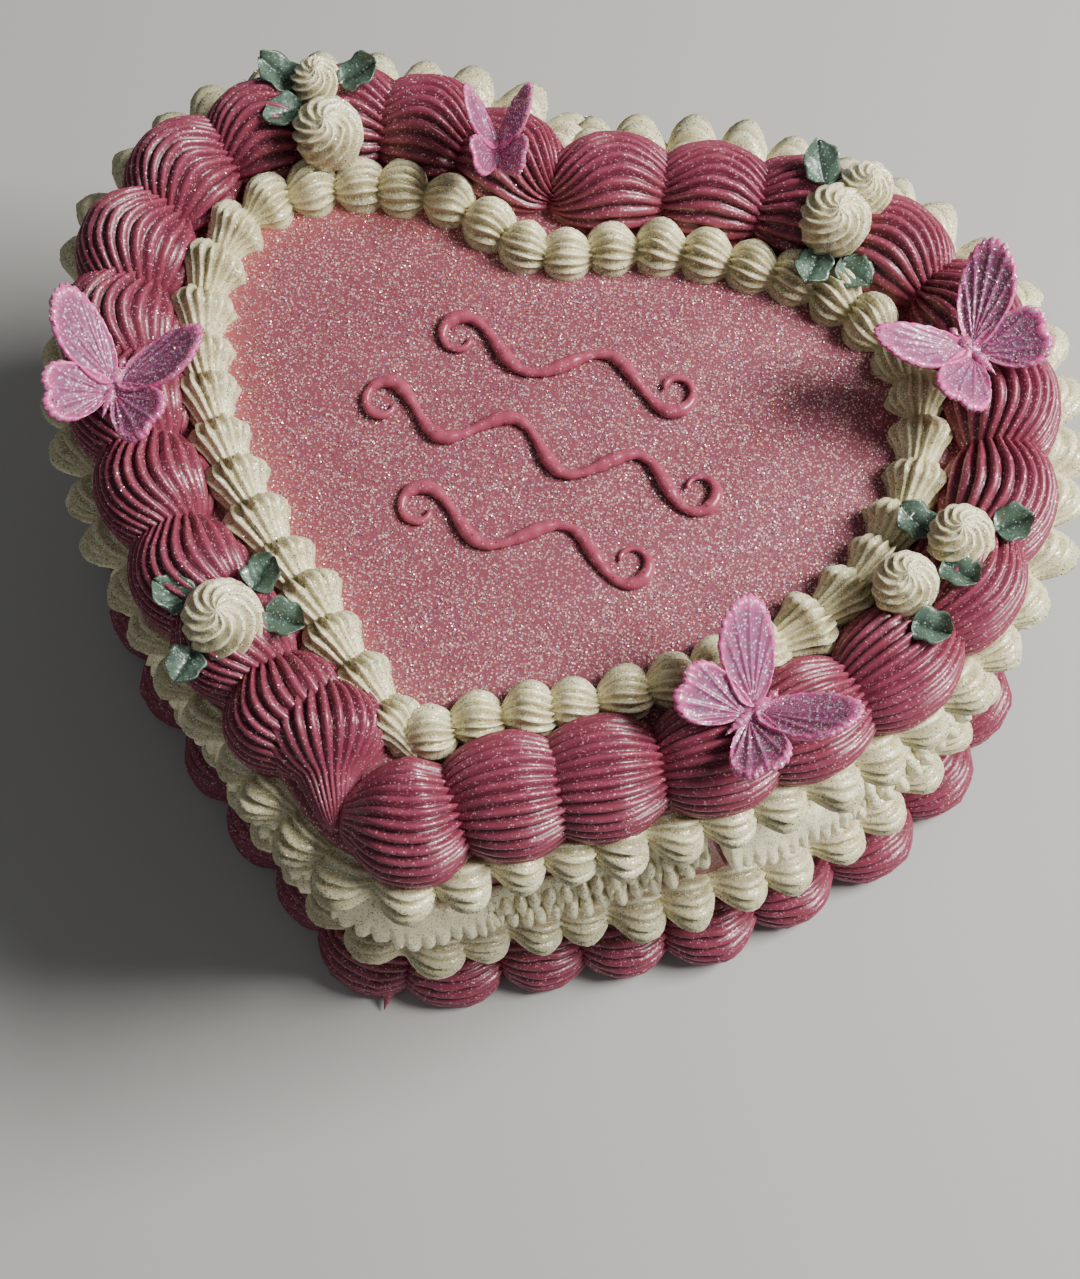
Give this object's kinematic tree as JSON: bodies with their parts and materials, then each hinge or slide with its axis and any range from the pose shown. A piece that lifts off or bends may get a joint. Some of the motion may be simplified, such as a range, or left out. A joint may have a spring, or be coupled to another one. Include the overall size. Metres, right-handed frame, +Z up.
{
  "type": "glitter cake",
  "caption": "Heart-shaped buttercream cake with piped shell borders, ruffled side swags, rosettes, leaves, moulded butterflies and glitter.",
  "frame": {"origin": "middle of the outline, on the surface that the cake stands on", "axes": "+Z up; the heart's tip points to -Y and its notch to +Y; +X is to the right when the tip is nearest"},
  "size_m": [0.2388, 0.203, 0.143],
  "materials": {
    "sponge_side_icing": "soft satin pink buttercream with glitter",
    "rose_icing": "soft satin deep rose buttercream, piped, with glitter",
    "ivory_icing": "soft satin ivory buttercream, piped, with glitter",
    "scroll_icing": "glossy deep rose piping gel and buttercream",
    "leaf_icing": "dusted sage green leaf with silver glitter",
    "wing_icing": "moulded orchid pink butterfly with holographic glitter"
  },
  "bodies": {
    "root": {"cake_body": "sponge_side_icing", "rose_top_border": "rose_icing", "ivory_inner_border": "ivory_icing", "ivory_upper_border": "ivory_icing", "ivory_lower_border": "ivory_icing", "rose_base_border": "rose_icing", "swag_1": "ivory_icing", "swag_2": "ivory_icing", "swag_3": "ivory_icing", "swag_4": "ivory_icing", "swag_5": "ivory_icing", "swag_6": "ivory_icing", "swag_7": "ivory_icing", "swag_8": "ivory_icing", "swag_echo_1": "rose_icing", "swag_echo_2": "rose_icing", "swag_echo_3": "rose_icing", "swag_echo_4": "rose_icing", "swag_echo_5": "rose_icing", "swag_echo_6": "rose_icing", "swag_echo_7": "rose_icing", "swag_echo_8": "rose_icing", "rosette_1": "ivory_icing", "rosette_2": "ivory_icing", "rosette_3": "ivory_icing", "rosette_4": "ivory_icing", "rosette_5": "ivory_icing", "rosette_6": "ivory_icing", "rosette_7": "ivory_icing", "leaf_1": "leaf_icing", "leaf_2": "leaf_icing", "leaf_3": "leaf_icing", "leaf_4": "leaf_icing", "leaf_5": "leaf_icing", "leaf_6": "leaf_icing", "leaf_7": "leaf_icing", "leaf_8": "leaf_icing", "leaf_9": "leaf_icing", "leaf_10": "leaf_icing", "leaf_11": "leaf_icing", "leaf_12": "leaf_icing", "leaf_13": "leaf_icing", "leaf_14": "leaf_icing", "butterfly_1": "wing_icing", "butterfly_2": "wing_icing", "butterfly_3": "wing_icing", "butterfly_4": "wing_icing", "scroll_1": "scroll_icing", "scroll_2": "scroll_icing", "scroll_3": "scroll_icing"}
  },
  "joints": []
}
